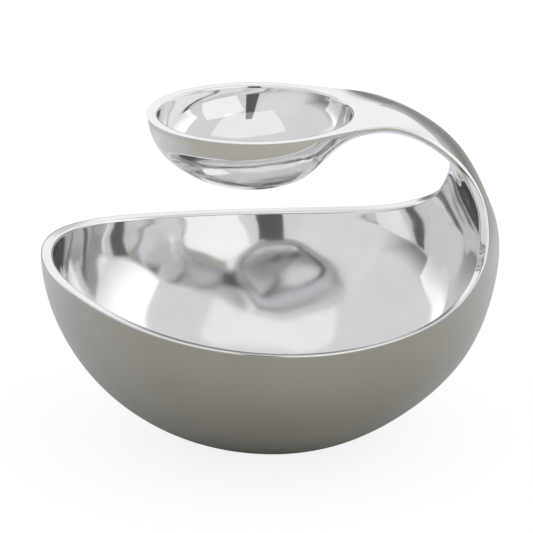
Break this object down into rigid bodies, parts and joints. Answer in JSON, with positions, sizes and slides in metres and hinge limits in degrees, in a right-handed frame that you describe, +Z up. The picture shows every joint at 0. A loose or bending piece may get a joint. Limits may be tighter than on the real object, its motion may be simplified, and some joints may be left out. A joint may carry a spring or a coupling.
{
  "type": "chip and dip server",
  "caption": "Round chip bowl whose rim rises into a curved neck that carries a small dip bowl above it; cast, polished metal.",
  "frame": {"origin": "on the base plane, under the middle of the chip bowl", "axes": "+Z up, +X towards the neck, +Y to the back; the shape is symmetric about the XZ plane"},
  "size_m": [0.3202, 0.3152, 0.2348],
  "materials": {
    "satin_alloy": "fine satin polish outside, mirror polish inside and on the rim",
    "polished_alloy": "hand-polished mirror"
  },
  "bodies": {
    "root": {"chip_bowl": "satin_alloy", "neck": "polished_alloy", "dip_bowl": "polished_alloy"}
  },
  "joints": []
}
